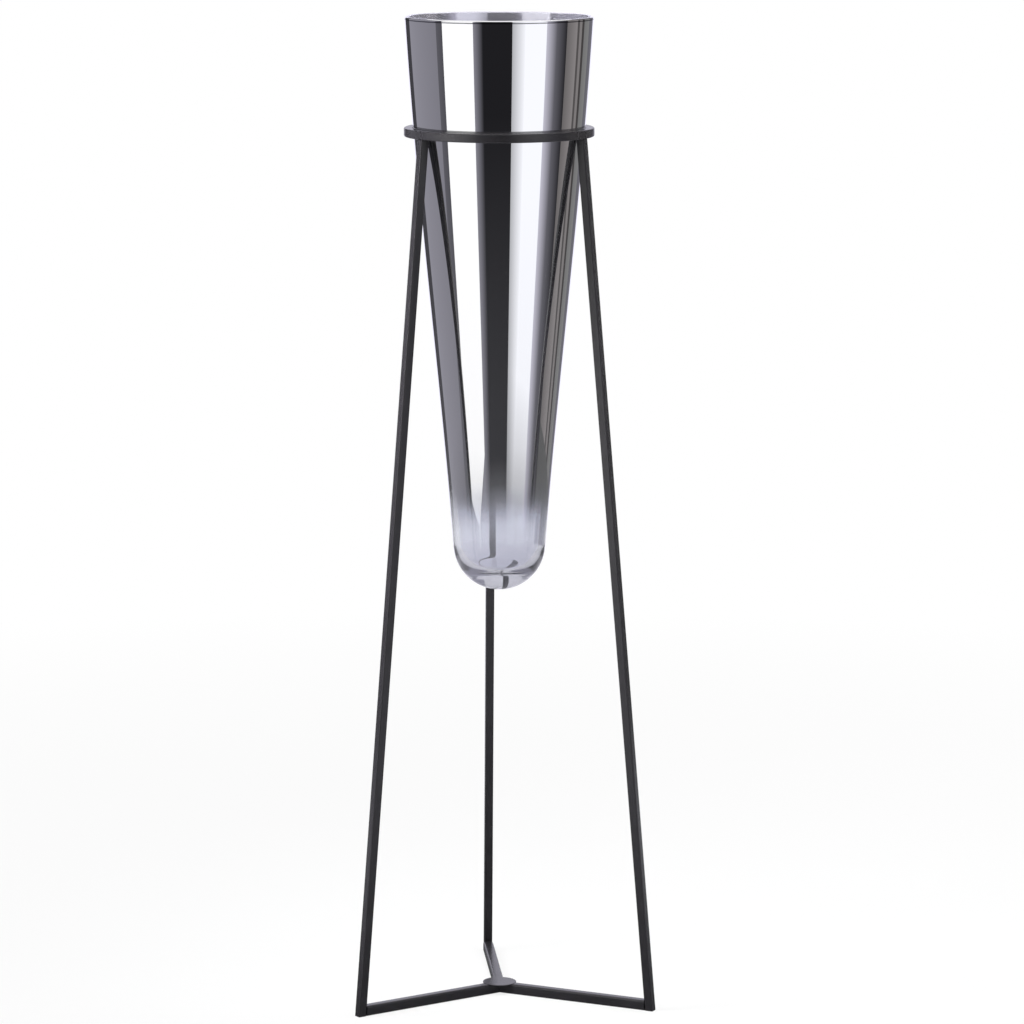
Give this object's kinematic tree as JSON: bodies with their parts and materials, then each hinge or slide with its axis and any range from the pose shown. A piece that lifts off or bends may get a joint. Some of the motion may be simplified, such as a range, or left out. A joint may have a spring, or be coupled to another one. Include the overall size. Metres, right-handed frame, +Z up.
{
  "type": "floor vase",
  "caption": "Tall round-bottomed glass cone, mirrored above and fading to clear below, that hangs by its taper in the ring of a slim tripod stand of square tube.",
  "frame": {"origin": "on the floor, straight below the axis of the glass, under the middle of the stand's base", "axes": "+Z up along the axis of the glass, +Y from the axis towards the rear leg, the side away from the picture's camera"},
  "size_m": [0.3474, 0.3071, 1.14],
  "materials": {
    "glass": "clear glass with a smoke mirror coat that fades out towards the bottom",
    "black_coat": "satin black powder coat",
    "black_plastic": "matt moulded black plastic"
  },
  "bodies": {
    "stand": {"support_ring": "black_coat", "leg_left": "black_coat", "leg_right": "black_coat", "leg_rear": "black_coat", "base_bar_left": "black_coat", "base_bar_right": "black_coat", "base_bar_rear": "black_coat", "hub_disc": "black_coat", "foot_plug_left": "black_plastic", "foot_plug_right": "black_plastic", "foot_plug_rear": "black_plastic"},
    "vase": {"glass_vase": "glass"}
  },
  "joints": [
    {"name": "vase_lift", "type": "slide", "parent": "stand", "child": "vase", "axis": [0, 0, 1], "range_m": [0, 0.56]}
  ]
}
